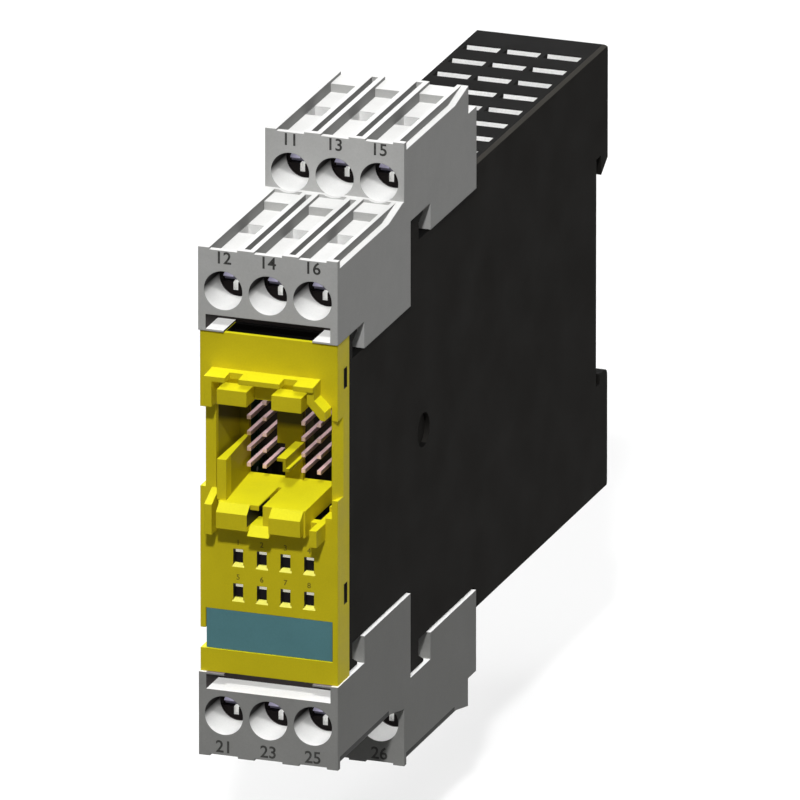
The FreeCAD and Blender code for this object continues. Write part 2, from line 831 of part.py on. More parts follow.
def light_guide():
    """Light guide: one rod for each indicator window, on a common web."""
    y0 = plate_y + guide_recess
    y1 = front_board_y - led_chip_height - fit_gap
    half = led_window_width / 2 - fit_gap
    rise = led_window_height / 2 - fit_gap
    rods = [box(x - half, x + half, y0, y1, z - rise, z + rise) for x in led_xs for z in led_zs]
    web_y = front + guide_web_back
    margin = guide_web_margin
    web = box(led_xs[0] - half - margin, led_xs[-1] + half + margin, web_y, web_y + guide_web,
              led_zs[0] - rise - margin, led_zs[-1] + rise + margin)
    return join(web, rods)


# Circuit boards and electrical parts

def main_board():
    """Main circuit board, upright beside the left wall, stepped below the block seats."""
    half_heights = [
        block_top - seat_under - header_height - board_gap * 2,
        block_top + tier_rise - seat_under - header_height - board_gap * 2,
        housing_half_height - housing_wall - board_margin,
    ]
    step_1 = front + tier_length + seat_gap + housing_wall + board_margin
    step_2 = front + tier_pitch + tier_length + seat_gap + housing_wall + board_margin
    y0, y1 = front + board_front, -rail_wall - seat_gap
    upper = [
        (y0, half_heights[0]), (step_1, half_heights[0]), (step_1, half_heights[1]),
        (step_2, half_heights[1]), (step_2, half_heights[2]), (y1, half_heights[2]),
    ]
    lower = [(y, -z) for y, z in reversed(upper)]
    return prism_x(upper + lower, board_x, board_face)


def front_board():
    """Small board across the front, behind the sockets and the light guide."""
    return box(board_face + fit_gap, inner_half - board_gap, front_board_y, front_board_y + board_thickness,
               -front_board_half, front_board_half)


def board_link():
    """Plug connector between the front board and the main board."""
    y0 = front_board_y + board_thickness
    return box(board_face, board_face + link_width, y0, y0 + link_length, -link_height / 2, link_height / 2)


def logic_chips():
    """Two controller chips on the main board."""
    half = chip_side / 2
    return [
        box(board_face, board_face + chip_height, front + y - half, front + y + half, -half, half)
        for y in chip_backs
    ]


def input_couplers():
    """Row of optical couplers on the main board, one for each input path."""
    y0 = front + coupler_back
    couplers = []
    for n in range(coupler_count):
        z = coupler_pitch * (n - (coupler_count - 1) / 2)
        couplers.append(box(board_face, board_face + coupler_height, y0, y0 + coupler_length,
                            z - coupler_width / 2, z + coupler_width / 2))
    return couplers


def capacitors():
    """Two can capacitors on the main board."""
    return [
        prism_x(inner_ring(front + capacitor_back, side * capacitor_spacing / 2, capacitor_radius, bar_sides),
                board_face, board_face + capacitor_height)
        for side in (-1, 1)
    ]


def power_converter():
    """Moulded supply converter on the main board."""
    y0 = front + converter_back
    return box(board_face, board_face + converter_width, y0, y0 + converter_length,
               converter_z - converter_height / 2, converter_z + converter_height / 2)


def status_leds():
    """Indicator chips on the front board, one behind each light guide rod."""
    half = led_chip / 2
    return [
        box(x - half, x + half, front_board_y - led_chip_height, front_board_y, z - half, z + half)
        for x in led_xs for z in led_zs
    ]


def contact_places(x):
    """Places of the pins of one interface socket."""
    places = []
    for column in range(pin_columns):
        for row in range(pin_rows):
            px = x + pin_grid * (column - (pin_columns - 1) / 2)
            pz = socket_middle_z + pin_grid * (row - (pin_rows - 1) / 2)
            places.append((px, pz))
    return places


def interface_header(x):
    """Insulating body of one interface socket, on the front board."""
    half, rise = contact_header_width / 2, contact_header_height / 2
    body = box(x - half, x + half, header_y, front_board_y, socket_middle_z - rise, socket_middle_z + rise)
    hole = contact_pin / 2
    holes = [
        box(px - hole, px + hole, header_y, front_board_y, pz - hole, pz + hole)
        for px, pz in contact_places(x)
    ]
    return body.cut(holes)


def interface_pins(x):
    """Square pins of one interface socket."""
    half = contact_pin / 2
    return [
        box(px - half, px + half, header_y - contact_reach, front_board_y, pz - half, pz + half)
        for px, pz in contact_places(x)
    ]


def terminal_header(y, z):
    """Insulating strip under the block seat, with a hole for each terminal pin."""
    z1 = z - seat_under
    z0 = z1 - header_height
    middle = y + socket_back
    body = box(fit_gap - inner_half, inner_half - fit_gap,
               middle - header_length / 2, middle + header_length / 2, z0, z1)
    half = pin_width / 2
    holes = [box(x - half, x + half, middle - half, middle + half, z0, z1) for x in pole_xs]
    return body.cut(holes)


def terminal_pins(y, z):
    """Bent pins from the block sockets down through the strip and across to the main board."""
    top_z = z - bar_base_drop - 2 * bar_thickness - pin_top_gap
    strip_z = z - seat_under - header_height
    middle = y + socket_back
    half = pin_width / 2
    pins = []
    for n, x in enumerate(pole_xs):
        foot_z = strip_z - pin_tail - n * pin_bend_step
        post = box(x - half, x + half, middle - half, middle + half, foot_z, top_z)
        arm = box(board_face, x + half, middle - half, middle + half, foot_z, foot_z + pin_width)
        pins.append(join(post, [arm]))
    return pins


def export(name, shape):
    """Write one node; a list becomes a group of separate solids."""
    if isinstance(shape, list):
        shape = Part.makeCompound(shape)
    shape.exportStep("parts/" + name + ".step")


def export_block(side, place):
    """Write one terminal block with its clamps, contacts, strips and pins."""
    export(side + "_terminal_block", place(terminal_block()))
    bars = []
    for tier, (y, z) in tiers.items():
        for n, x in enumerate(pole_xs):
            pole = side + "_" + tier + "_" + str(n + 1)
            export("clamp_screw_" + pole, place(clamp_screw(x, y, z)))
            export("clamp_cage_" + pole, place(clamp_cage(x, y, z)))
            bars.append(place(contact_bar(x, y, z)))
        export(side + "_" + tier + "_pin_strip", place(terminal_header(y, z)))
        export(side + "_" + tier + "_pins", [place(pin) for pin in terminal_pins(y, z)])
    export(side + "_contact_bars", bars)


def main():
    os.makedirs("parts", exist_ok=True)
    export_block("upper", lambda shape: shape)
    export_block("lower", below)
    export("housing", housing())
    export("rail_spring", rail_spring())
    export("front_cover", front_cover())
    export("label_plate", label_plate())
    export("light_guide", light_guide())
    export("status_leds", status_leds())
    export("main_board", main_board())
    export("front_board", front_board())
    export("board_link", board_link())
    export("logic_chips", logic_chips())
    export("input_couplers", input_couplers())
    export("capacitors", capacitors())
    export("power_converter", power_converter())
    for name, x in zip(("left", "right"), socket_xs):
        export("interface_header_" + name, interface_header(x))
        export("interface_pins_" + name, interface_pins(x))


main()
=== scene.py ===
import math

import bpy
from bpy.props import FloatProperty, FloatVectorProperty, PointerProperty
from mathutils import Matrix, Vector


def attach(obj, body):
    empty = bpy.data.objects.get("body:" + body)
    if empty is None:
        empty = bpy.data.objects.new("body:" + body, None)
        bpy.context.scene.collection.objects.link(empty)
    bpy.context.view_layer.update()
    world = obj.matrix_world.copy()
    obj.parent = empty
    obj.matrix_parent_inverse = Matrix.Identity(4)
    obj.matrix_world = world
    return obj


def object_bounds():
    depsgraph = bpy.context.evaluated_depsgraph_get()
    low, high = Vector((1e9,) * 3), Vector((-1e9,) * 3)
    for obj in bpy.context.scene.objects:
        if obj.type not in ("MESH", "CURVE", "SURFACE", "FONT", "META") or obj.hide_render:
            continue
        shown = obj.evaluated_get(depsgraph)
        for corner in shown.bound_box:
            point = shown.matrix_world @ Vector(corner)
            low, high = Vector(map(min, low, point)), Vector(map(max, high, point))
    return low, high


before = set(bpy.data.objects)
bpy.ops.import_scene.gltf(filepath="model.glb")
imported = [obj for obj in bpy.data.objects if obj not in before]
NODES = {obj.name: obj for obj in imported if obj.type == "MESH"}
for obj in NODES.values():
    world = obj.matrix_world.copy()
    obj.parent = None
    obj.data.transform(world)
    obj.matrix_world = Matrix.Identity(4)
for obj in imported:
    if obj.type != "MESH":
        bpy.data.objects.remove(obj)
CAD_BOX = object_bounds()

bl_info = {
    "name": "Safety input module looks",
    "version": (1, 0, 0),
    "blender": (4, 5, 0),
    "location": "View3D > Sidebar > Module",
    "description": "Finishes, printed numbers and stage of a rail-mounted safety input module",
    "category": "Object",
}

MM = 0.001

# Places that the finishes and the printed numbers share with the solids, in metres. XS, YS and ZS are limits
# along an axis, and heights count both up and down from the middle of the module.

# Housing: bevels along its upper edges, which get a painted highlight, and the field of vents, whose walls
# get painted light
BEVEL_HEIGHT = 35.5 * MM
VENT_XS = (-10.2 * MM, 10.2 * MM)
VENT_YS = (-53.2 * MM, -1.6 * MM)
VENT_HEIGHTS = (35.05 * MM, 36.27 * MM)

# Front cover: outer right flank with a painted highlight; receptacle with its hood, given painted shade;
# mouth of the shelf, notches at both ends and snap windows in the sides, painted dark as shade
COVER_SIDE = 10.0 * MM
POCKET_XS = (-9.5 * MM, 9.5 * MM)
POCKET_YS = (-118.3 * MM, -108.0 * MM)
POCKET_ZS = (1.4 * MM, 18.5 * MM)
HOOD_SLOPE = 0.36
HOOD_SHADE = (-30.0 * MM, -28.9 * MM)
MOUTH_XS = (-2.2 * MM, -0.1 * MM)
MOUTH_ZS = (-2.05 * MM, 0.9 * MM)
MOUTH_LIP = -121.6 * MM
MOUTH_REAR = -116.8 * MM
NOTCH_XS = (-7.17 * MM, 7.17 * MM)
NOTCH_YS = (-118.52 * MM, -114.0 * MM)
NOTCH_HEIGHT = 26.0 * MM
SNAP_MIDDLES = (21.1 * MM, -13.55 * MM)
SNAP_HALF_HEIGHT = 1.68 * MM
SNAP_YS = (-116.6 * MM, -115.0 * MM)

# Indicators in two rows of four: windows, painted dark as shade, and sills, which get a painted highlight, by
# half width and half height; a painted highlight that glows faintly on a band at the top of each rod
PLATE_FACE = -119.3 * MM
LAMP_PITCH = 3.82 * MM
LAMP_XS = [0.73 * MM + LAMP_PITCH * (n - 1.5) for n in range(4)]
LAMP_ROWS = (-8.45 * MM, -14.05 * MM)
LAMP_NUMBER_RISE = 2.3 * MM
WINDOW_HALF = (0.82 * MM, 1.24 * MM)
WINDOW_YS = (-119.26 * MM, -117.6 * MM)
SILL_HALF = (1.05 * MM, 0.26 * MM)
SILL_YS = (-119.29 * MM, -117.0 * MM)
SILL_DROP = 1.45 * MM
HIGHLIGHT_RISES = (0.5 * MM, 1.2 * MM)
HIGHLIGHT_REAR = -117.5 * MM

# Terminal blocks: depths run back from the face of a tier, and drops run in from its outer edge
TIERS = {
    "front": {"face": -119.7 * MM, "edge": 40.9 * MM, "axis": 34.2 * MM},
    "rear": {"face": -89.7 * MM, "edge": 50.3 * MM, "axis": 43.6 * MM},
}
POLE_PITCH = 7.2 * MM
POLE_XS = (-10.6 * MM, 10.6 * MM)
BORE_RADIUS = 3.1 * MM
BORE_MARGIN = 0.1 * MM
# Painted shade on the upper part of each bore wall, over the range of the bore roof
BORE_ROOF_SHADE = (-0.28 * BORE_RADIUS, 0.14 * BORE_RADIUS)
BORE_DEPTHS = (0.03 * MM, 6.9 * MM)
# Painted shade on the seat behind each screw head
SEAT_DEPTHS = (BORE_DEPTHS[1], 7.3 * MM)
# Painted light on the walls of each wire entry
ENTRY_DEPTHS = (13.0 * MM, 18.2 * MM)
ENTRY_HALF_WIDTH = 2.6 * MM
ENTRY_DROP = 1.9 * MM
# Lever slot: painted shade on its walls and painted light on its ledges
SLOT_XS = (-10.1 * MM, 10.1 * MM)
SLOT_YS = (-119.67 * MM, -114.1 * MM)
SLOT_HEIGHTS = (27.4 * MM, 30.2 * MM)
SLOT_LEDGES = {1: 27.6 * MM, -1: 28.0 * MM}
# Painted shade on the lower block's outer rim
RIM_DEPTHS = (0.9 * MM, 23.0 * MM)
RIM_DROP = 1.95 * MM
BLOCK_NUMBERS = {
    "upper": {"front": ("12", "14", "16"), "rear": ("11", "13", "15")},
    "lower": {"front": ("21", "23", "25"), "rear": ("22", "24", "26")},
}

# Clamp screws: head from the face of its tier, cross recess in the head; painted shade on the rim, in the
# recess and on the half below the axis, and a painted glint on the lower arm of the cross
HEAD_DEPTH = 5.6 * MM
HEAD_RIM = 2.05 * MM
RECESS_DEPTH = 0.1 * MM
RECESS_HALF_WIDTH = 0.42 * MM
SHADE_DROP = 0.3 * MM

# Parts of a face's direction along an axis, past which the face counts as level, sideways and so on
LEVEL = 0.9
SIDEWAYS = 0.7
HALF_TURNED = 0.5
SLOPED = 0.3

# Tones of painted light and shade, as shares of the colour that they start from
HOUSING_TOP_SHADE = 0.12
HOUSING_BEVEL_HIGHLIGHT = 4.0
COVER_FLANK_LIGHT = 1.4
POCKET_SHADE = 0.6
HOOD_SHADOW_TONE = 0.15
GROOVE_SHADE = 0.5
LIT_WALL = 1.15
SLOT_SHADE = 6.0
SHADED_RIM = 0.2
PIN_FLANK_SHADE = 0.45
SCREW_RECESS_SHADE = 0.3
SCREW_ARM_GLINT = 1.2
ROD_HIGHLIGHT = 1.4
ROD_HIGHLIGHT_GLOW = 1.2
HIGHLIGHT_GLOW_STRENGTH = 0.45

# Sizes of clouds, stains and drawn lines in the finishes, and depths of their bump, in metres
CLOUD_SIZE = 0.009
STAIN_SIZE = 0.0022
LINE_SIZE = 0.00012
LINE_DEPTH = 0.00001
GRAIN_DEPTH = 0.00002
NOISE_SPAN = (0.3, 0.7)

# Digits: height as a share of the type size, weight as a share of the height, distance for welding
DIGIT_SHARE = 0.70
DIGIT_WEIGHT = 0.022
WELD = 0.000001

# Stage: floor, lights by where they shine from and how wide they look in degrees, and the picture's middle,
# in millimetres from a corner of the front tier along the picture's own axes
FLOOR_SIZE = 8.0
FLOOR_TONES = (0.36, 0.38)
FLOOR_DIM = 0.06
FLOOR_GLOW = 0.52
KEY_LIGHT = ((0.209, -0.72, 0.66), 4)
OVERHEAD_LIGHT = ((0.0, 0.0, 1.0), 40)
CEILING_LIGHT = ((0.0, 0.0, 1.0), 36)
FILL_LIGHT = ((-0.6, 0.6, 0.2), 40)
FRAME_CORNER = (-11.25, -119.7, -41.05)
FRAME_SHIFT = (30.632, 54.086, 38.9)
SENSOR_WIDTH = 36.0


class ModuleFinishesAndPaintedLight(bpy.types.PropertyGroup):
    """Colours and grain of the module's materials, among them colours of painted light and shade."""

    housing: FloatVectorProperty(
        name="Housing", description="Matt black of the housing", subtype="COLOR",
        min=0, max=1, default=(0.0120, 0.0112, 0.0100))
    # Painted light: the vent walls are given a pale colour
    vent: FloatVectorProperty(
        name="Vent walls", description="Pale cut walls of the vent slots", subtype="COLOR",
        min=0, max=1, default=(0.85, 0.85, 0.84))
    cover: FloatVectorProperty(
        name="Cover", description="Yellow of the front cover", subtype="COLOR",
        min=0, max=1, default=(0.61, 0.51, 0.010))
    # Painted highlight: the cover's upper faces are given a paler lemon
    lit_cover_top: FloatVectorProperty(
        name="Cover tops", description="Lemon of the cover's upper faces", subtype="COLOR",
        min=0, max=1, default=(0.68, 0.63, 0.008))
    # Painted highlight: the sills under the windows are given a pale yellow
    sill_highlight: FloatVectorProperty(
        name="Window sills", description="Pale yellow of the sills under the indicators", subtype="COLOR",
        min=0, max=1, default=(0.80, 0.77, 0.13))
    label: FloatVectorProperty(
        name="Label plate", description="Teal of the label plate", subtype="COLOR",
        min=0, max=1, default=(0.093, 0.228, 0.250))
    block: FloatVectorProperty(
        name="Upper block", description="Light grey of the upper terminal block", subtype="COLOR",
        min=0, max=1, default=(0.47, 0.47, 0.46))
    # Painted shade: the lower block is given a darker grey than the upper one
    lower_block: FloatVectorProperty(
        name="Lower block", description="Deeper grey of the lower terminal block", subtype="COLOR",
        min=0, max=1, default=(0.27, 0.27, 0.26))
    # Painted light: the upper block's upper faces are given a paler grey
    top: FloatVectorProperty(
        name="Block tops", description="Pale upper faces of the upper terminal block", subtype="COLOR",
        min=0, max=1, default=(0.66, 0.66, 0.65))
    # Painted light: this pale colour also stands for light on the ledges, the wire entries, the lower block's
    # upper faces and the screws' glints
    bore: FloatVectorProperty(
        name="Bore walls", description="Pale smooth walls of the screwdriver bores", subtype="COLOR",
        min=0, max=1, default=(0.80, 0.80, 0.79))
    screw: FloatVectorProperty(
        name="Clamp screws", description="Lilac plating of the clamp screws", subtype="COLOR",
        min=0, max=1, default=(0.50, 0.475, 0.64))
    clamp: FloatVectorProperty(
        name="Clamp cages", description="Zinc plating of the cages and the spring", subtype="COLOR",
        min=0, max=1, default=(0.56, 0.56, 0.58))
    contact: FloatVectorProperty(
        name="Contacts", description="Tin of the bars and terminal pins", subtype="COLOR",
        min=0, max=1, default=(0.62, 0.61, 0.58))
    pin: FloatVectorProperty(
        name="Interface pins", description="Rose gold of the interface pins", subtype="COLOR",
        min=0, max=1, default=(0.86, 0.60, 0.62))
    # Also painted near black as shade in the cover's openings, on the bore roofs and seats, in the lever
    # slots, on the screws and on the front board
    insulation_and_shade: FloatVectorProperty(
        name="Insulating bodies", description="Black of the headers and chips", subtype="COLOR",
        min=0, max=1, default=(0.012, 0.010, 0.010))
    board: FloatVectorProperty(
        name="Boards", description="Green solder resist", subtype="COLOR",
        min=0, max=1, default=(0.006, 0.032, 0.014))
    guide: FloatVectorProperty(
        name="Light guide", description="Smoked plastic of the light guide", subtype="COLOR",
        min=0, max=1, default=(0.012, 0.010, 0.012))
    lamp: FloatVectorProperty(
        name="Indicator chips", description="Pale bodies of the indicators", subtype="COLOR",
        min=0, max=1, default=(0.80, 0.78, 0.66))
    ink: FloatVectorProperty(
        name="Terminal ink", description="Dark ink of the numbers on the blocks", subtype="COLOR",
        min=0, max=1, default=(0.045, 0.044, 0.042))
    lamp_ink: FloatVectorProperty(
        name="Indicator ink", description="Brown ink of the numbers on the cover", subtype="COLOR",
        min=0, max=1, default=(0.16, 0.13, 0.01))
    grain: FloatProperty(
        name="Mould grain", description="Size of the grain on moulded faces", unit="LENGTH",
        min=0.00005, max=0.002, default=0.00028)
    edge: FloatProperty(
        name="Edge softness", description="Radius at which edges catch the light", unit="LENGTH",
        min=0.00001, max=0.001, default=0.00014)


class ModulePrint(bpy.types.PropertyGroup):
    """Sizes of the printed numbers."""

    terminal_height: FloatProperty(
        name="Terminal number height", description="Height of the digits beside the bores", unit="LENGTH",
        min=0.0005, max=0.004, default=0.0019)
    terminal_inset: FloatProperty(
        name="Terminal number inset", description="From the block's outer edge to the digits' middle",
        unit="LENGTH", min=0.0005, max=0.004, default=0.00155)
    lamp_height: FloatProperty(
        name="Indicator number height", description="Height of the digits above the windows", unit="LENGTH",
        min=0.0003, max=0.002, default=0.00085)
    thickness: FloatProperty(
        name="Ink thickness", description="How far the ink stands proud", unit="LENGTH",
        min=0.000005, max=0.0002, default=0.00002)


class ModuleStage(bpy.types.PropertyGroup):
    """Camera, floor and lights."""

    azimuth: FloatProperty(
        name="Azimuth", description="Camera's turn to the right of the front", subtype="ANGLE",
        default=math.radians(19.641))
    elevation: FloatProperty(
        name="Elevation", description="Camera's height above the horizon", subtype="ANGLE",
        default=math.radians(19.13))
    lens: FloatProperty(
        name="Lens", description="Focal length in millimetres; a long one gives the flat view",
        min=50, max=1700, default=1600)
    frame_width: FloatProperty(
        name="Frame width", description="Width of the picture at the object", unit="LENGTH",
        min=0.05, max=1, default=0.12277)
    key: FloatProperty(
        name="Key light", description="Strength of the light from beside the camera",
        min=0, max=20, default=2.0)
    overhead: FloatProperty(
        name="Overhead light", description="Strength of the soft light from above",
        min=0, max=20, default=0.65)
    ceiling: FloatProperty(
        name="Ceiling light", description="Strength of the shadowless light from above",
        min=0, max=20, default=2.25)
    fill: FloatProperty(
        name="Fill light", description="Strength of the soft light from behind the left",
        min=0, max=20, default=2.0)
    room: FloatProperty(
        name="Room light", description="Strength of the even light from all round",
        min=0, max=4, default=0.12)
    floor_gap: FloatProperty(
        name="Floor gap", description="Gap under the lowest face, so that the lower block can be pulled off",
        unit="LENGTH", min=0, max=0.2, default=0.0175)


# Nodes that the materials are put together from

def add_node(tree, kind, inputs=None, **settings):
    """New shader node, with its settings made and its inputs set or linked."""
    made = tree.nodes.new(kind)
    for name, value in settings.items():
        setattr(made, name, value)
    for name, value in (inputs or {}).items():
        if isinstance(value, bpy.types.NodeSocket):
            tree.links.new(value, made.inputs[name])
        else:
            made.inputs[name].default_value = value
    return made


def math_node(tree, operation, first, second=0.0, third=0.0):
    """Result of one sum on two or three values or links."""
    inputs = {0: first, 1: second, 2: third}
    return add_node(tree, "ShaderNodeMath", inputs, operation=operation).outputs[0]


def minus(tree, first, second):
    """Difference of two values."""
    return math_node(tree, "SUBTRACT", first, second)


def size_of(tree, value):
    """Value without its sign."""
    return math_node(tree, "ABSOLUTE", value)


def nearest(tree, value, places):
    """Distance from the value to the nearer of two places."""
    return math_node(tree, "MINIMUM", *[size_of(tree, minus(tree, value, place)) for place in places])


def axis_square(tree, across, rise):
    """Square of the distance from an axis that runs from front to rear."""
    return math_node(tree, "ADD", *[math_node(tree, "MULTIPLY", side, side) for side in (across, rise)])


def above(tree, value, limit):
    """One where the value is past the limit, otherwise nought."""
    return math_node(tree, "GREATER_THAN", value, limit)


def below(tree, value, limit):
    """One where the value is short of the limit, otherwise nought."""
    return math_node(tree, "LESS_THAN", value, limit)


def between(tree, value, limits):
    """One where the value lies between two limits, otherwise nought."""
    return all_of(tree, above(tree, value, limits[0]), below(tree, value, limits[1]))


def all_of(tree, first, *others):
    """One where every mask is one."""
    for other in others:
        first = math_node(tree, "MULTIPLY", first, other)
    return first


def any_of(tree, first, *others):
    """One where any mask is one."""
    for other in others:
        first = math_node(tree, "MAXIMUM", first, other)
    return first


def ramp(tree, value, limits):
    """Rise from nought at the first limit to one at the second."""
    inputs = {"Value": value, "From Min": limits[0], "From Max": limits[1]}
    return add_node(tree, "ShaderNodeMapRange", inputs).outputs[0]


def axes_of(tree, vector):
    """Parts of a vector along X, Y and Z."""
    return add_node(tree, "ShaderNodeSeparateXYZ", {0: vector}).outputs


def face_direction(tree):
    """Parts along X, Y and Z of the direction that a face looks in."""
    return axes_of(tree, add_node(tree, "ShaderNodeNewGeometry").outputs["True Normal"])


def looks_sideways(tree, face):
    """One on faces that look to the left or right, otherwise nought."""
    return above(tree, size_of(tree, face[0]), SIDEWAYS)


def noise(tree, place, size, detail=2.0):
    """Noise of the given feature size in metres."""
    inputs = {"Vector": place, "Scale": 1.0 / size, "Detail": detail, "Roughness": 0.55}
    return add_node(tree, "ShaderNodeTexNoise", inputs).outputs[0]


def spread(tree, value, low=0.0, high=1.0):
    """Noise value spread over a range."""
    inputs = {"Value": value, "From Min": NOISE_SPAN[0], "From Max": NOISE_SPAN[1],
              "To Min": low, "To Max": high}
    return add_node(tree, "ShaderNodeMapRange", inputs).outputs[0]


def shade(colour, factor=1.0):
    """Colour made darker or lighter, with full opacity."""
    return tuple(min(1.0, c * factor) for c in colour) + (1.0,)


def blend_colours(tree, factor, first, second, kind="MIX"):
    """Mix or product of two colours or colour links."""
    made = add_node(tree, "ShaderNodeMix", data_type="RGBA", blend_type=kind)
    for socket, value in zip((made.inputs[0], made.inputs[6], made.inputs[7]), (factor, first, second)):
        if isinstance(value, bpy.types.NodeSocket):
            tree.links.new(value, socket)
        else:
            socket.default_value = value
    return made.outputs[2]


def retone(tree, mask, tone, base, colour):
    """Tone turned from its base colour to another one where the mask is one, with its grain kept."""
    ratio = tuple(new / old for new, old in zip(colour, base)) + (1.0,)
    return blend_colours(tree, mask, tone, ratio, "MULTIPLY")


def soften(tree, shader, height, strength, depth):
    """Edges that catch the light, with a fine bump over them."""
    edge = bpy.context.scene.module_finishes.edge
    soft = add_node(tree, "ShaderNodeBevel", {"Radius": edge}, samples=4)
    bump = add_node(tree, "ShaderNodeBump", {
        "Strength": strength, "Distance": depth, "Height": height, "Normal": soft.outputs[0]})
    tree.links.new(bump.outputs[0], shader.inputs["Normal"])


# Materials

def start_material(name):
    """Empty material with a principled shader; gives material, tree, shader and the object's coordinates."""
    material = bpy.data.materials.new(name)
    material.use_nodes = True
    tree = material.node_tree
    tree.nodes.clear()
    shader = add_node(tree, "ShaderNodeBsdfPrincipled")
    add_node(tree, "ShaderNodeOutputMaterial", {"Surface": shader.outputs[0]})
    place = add_node(tree, "ShaderNodeTexCoord").outputs["Object"]
    return material, tree, shader, place


def moulded_plastic(name, colour, roughness, specular, contrast=0.06):
    """Moulded plastic: faint flow clouds, fine spark grain and softened edges."""
    material, tree, shader, place = start_material(name)
    cloud = noise(tree, place, CLOUD_SIZE, 3.0)
    grain = noise(tree, place, bpy.context.scene.module_finishes.grain)
    tone = blend_colours(tree, spread(tree, cloud), shade(colour, 1 - contrast), shade(colour, 1 + contrast))
    speck = blend_colours(tree, spread(tree, grain), shade((1, 1, 1), 1 - contrast), (1, 1, 1, 1))
    tone = blend_colours(tree, 1.0, tone, speck, "MULTIPLY")
    tree.links.new(tone, shader.inputs["Base Color"])
    tree.links.new(spread(tree, cloud, roughness - 0.05, roughness + 0.05), shader.inputs["Roughness"])
    shader.inputs["Specular IOR Level"].default_value = specular
    soften(tree, shader, grain, 0.12, GRAIN_DEPTH)
    return material, tree, shader, place, tone


def plated_metal(name, colour, roughness, metallic=1.0, flank_shade=1.0):
    """Plated metal: bright with fine drawn lines and faint stains, with painted shade on its flanks where a
    flank shade is given.
    """
    material, tree, shader, place = start_material(name)
    stain = noise(tree, place, STAIN_SIZE, 3.0)
    drawn = add_node(tree, "ShaderNodeMapping", {"Vector": place, "Scale": (1.0, 0.12, 1.0)}).outputs[0]
    lines = noise(tree, drawn, LINE_SIZE)
    tone = blend_colours(tree, spread(tree, stain), shade(colour, 0.8), shade(colour, 1.1))
    if flank_shade != 1.0:
        tone = blend_colours(tree, looks_sideways(tree, face_direction(tree)), tone, shade(colour, flank_shade))
    tree.links.new(tone, shader.inputs["Base Color"])
    tree.links.new(spread(tree, lines, roughness - 0.08, roughness + 0.10), shader.inputs["Roughness"])
    shader.inputs["Metallic"].default_value = metallic
    soften(tree, shader, lines, 0.10, LINE_DEPTH)
    return material


def circuit_board(name, colour, pads_tone):
    """Solder resist over glass fibre, with lighter tracks and pads."""
    material, tree, shader, place = start_material(name)
    turned = add_node(tree, "ShaderNodeMapping", {
        "Vector": place, "Rotation": (0.0, 0.0, math.radians(90))}).outputs[0]
    tracks = add_node(tree, "ShaderNodeTexBrick", {
        "Vector": turned, "Color1": shade(colour), "Color2": shade(colour, 0.85),
        "Mortar": shade(colour, 1.9), "Scale": 160.0, "Mortar Size": 0.06, "Brick Width": 0.9,
        "Row Height": 0.28})
    pads = add_node(tree, "ShaderNodeTexVoronoi", {"Vector": place, "Scale": 420.0})
    pad = add_node(tree, "ShaderNodeMapRange", {
        "Value": pads.outputs["Distance"], "From Min": 0.16, "From Max": 0.2,
        "To Min": 1.0, "To Max": 0.0}).outputs[0]
    tone = blend_colours(tree, pad, tracks.outputs["Color"], shade(pads_tone))
    tree.links.new(tone, shader.inputs["Base Color"])
    tree.links.new(spread(tree, noise(tree, place, 0.003), 0.25, 0.4), shader.inputs["Roughness"])
    return material


def printed_ink(name, colour):
    """Matt ink that lies a little uneven."""
    material, tree, shader, place = start_material(name)
    patch = spread(tree, noise(tree, place, 0.0006))
    tone = blend_colours(tree, patch, shade(colour, 0.8), shade(colour, 1.5))
    tree.links.new(tone, shader.inputs["Base Color"])
    shader.inputs["Roughness"].default_value = 0.75
    shader.inputs["Specular IOR Level"].default_value = 0.2
    return material


def dress(material, *names):
    """Give CAD nodes their material."""
    for name in names:
        mesh = NODES[name].data
        mesh.materials.clear()
        mesh.materials.append(material)


def named(start, *ends):
    """CAD nodes whose names start and end in the given ways."""
    return [name for name in NODES if name.startswith(start) and (not ends or name.endswith(ends))]


# Printed numbers

def print_number(text, height, x, y, z, thickness):
    """One number as a flat mesh that faces the front, its middle at the given place."""
    bpy.ops.object.select_all(action="DESELECT")
    bpy.ops.object.text_add(location=(x, y, z), rotation=(math.radians(90), 0, 0))
    number = bpy.context.object
    number.data.body = text
    number.data.size = height / DIGIT_SHARE
    number.data.align_x = "CENTER"
    number.data.align_y = "CENTER"
    number.data.extrude = thickness
    number.data.offset = height * DIGIT_WEIGHT
    number.data.resolution_u = 4
    bpy.ops.object.convert(target="MESH")
    bpy.ops.object.transform_apply(location=True, rotation=True, scale=True)
    return bpy.context.object


def join_numbers(numbers, name, material, body):
    """Join, weld and ink the numbers of one piece, and set it to ride on a body."""
    bpy.ops.object.select_all(action="DESELECT")
    for number in numbers:
        number.select_set(True)
    bpy.context.view_layer.objects.active = numbers[0]
    bpy.ops.object.join()
    joined = bpy.context.object
    bpy.ops.object.transform_apply(location=True, rotation=True, scale=True)
    bpy.ops.object.mode_set(mode="EDIT")
    bpy.ops.mesh.select_all(action="SELECT")
    bpy.ops.mesh.remove_doubles(threshold=WELD)
    bpy.ops.mesh.normals_make_consistent(inside=False)
    bpy.ops.object.mode_set(mode="OBJECT")
    joined.name = name
    joined.data.name = name
    joined.data.materials.clear()
    joined.data.materials.append(material)
    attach(joined, body)


# Steps, one for each piece or group of like pieces

